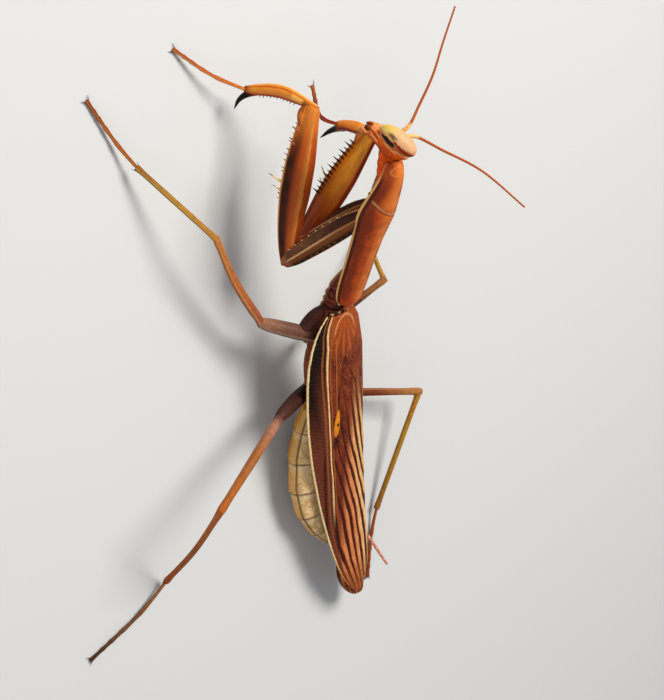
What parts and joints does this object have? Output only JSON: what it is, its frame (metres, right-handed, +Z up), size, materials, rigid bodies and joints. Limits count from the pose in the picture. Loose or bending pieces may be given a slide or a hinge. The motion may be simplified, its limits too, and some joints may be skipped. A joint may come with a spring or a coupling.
{
  "type": "praying mantis",
  "caption": "Still, life-size praying mantis, a heavy female with folded brown wings, long raised prothorax, spined grasping arms and slim walking legs.",
  "frame": {"origin": "middle of the whole animal's outline seen from above, on the floor it stands on", "axes": "+Z up, the head towards -Y, the animal's left side towards +X"},
  "size_m": [0.0632, 0.0802, 0.0332],
  "materials": {
    "head_shell": "satin chitin, orange with a yellow crown",
    "mouth_shell": "dark red-brown, satin",
    "eye": "smooth and glossy, cream with a dark streak",
    "feeler": "matte red-brown",
    "neck_membrane": "soft, matte orange",
    "body_shell": "satin chitin, red-brown",
    "abdomen_shell": "matte, olive-cream",
    "forewing": "leathery, satin, red-brown with cream veins",
    "hindwing": "thin and folded, matte",
    "foreleg_shell": "satin chitin, brown with ochre stripes",
    "leg_shell": "satin chitin, orange-brown",
    "foot_shell": "satin chitin, orange-brown"
  },
  "bodies": {
    "root": {"head": "head_shell", "mouthparts": "mouth_shell", "eye_left": "eye", "eye_right": "eye", "antenna_left": "feeler", "antenna_right": "feeler", "neck": "neck_membrane", "prothorax": "body_shell", "thorax": "body_shell", "abdomen": "abdomen_shell", "cercus_left": "feeler", "cercus_right": "feeler", "tegmen_left": "forewing", "tegmen_right": "forewing", "hindwing_left": "hindwing", "hindwing_right": "hindwing", "foreleg_left_coxa": "foreleg_shell", "foreleg_left_femur": "foreleg_shell", "foreleg_left_tibia": "foreleg_shell", "foreleg_left_tarsus": "foot_shell", "foreleg_right_coxa": "foreleg_shell", "foreleg_right_femur": "foreleg_shell", "foreleg_right_tibia": "foreleg_shell", "foreleg_right_tarsus": "foot_shell", "midleg_left_coxa": "leg_shell", "midleg_left_femur": "leg_shell", "midleg_left_tibia": "leg_shell", "midleg_left_tarsus": "foot_shell", "midleg_right_coxa": "leg_shell", "midleg_right_femur": "leg_shell", "midleg_right_tibia": "leg_shell", "midleg_right_tarsus": "foot_shell", "hindleg_left_coxa": "leg_shell", "hindleg_left_femur": "leg_shell", "hindleg_left_tibia": "leg_shell", "hindleg_left_tarsus": "foot_shell", "hindleg_right_coxa": "leg_shell", "hindleg_right_femur": "leg_shell", "hindleg_right_tibia": "leg_shell", "hindleg_right_tarsus": "foot_shell"}
  },
  "joints": []
}
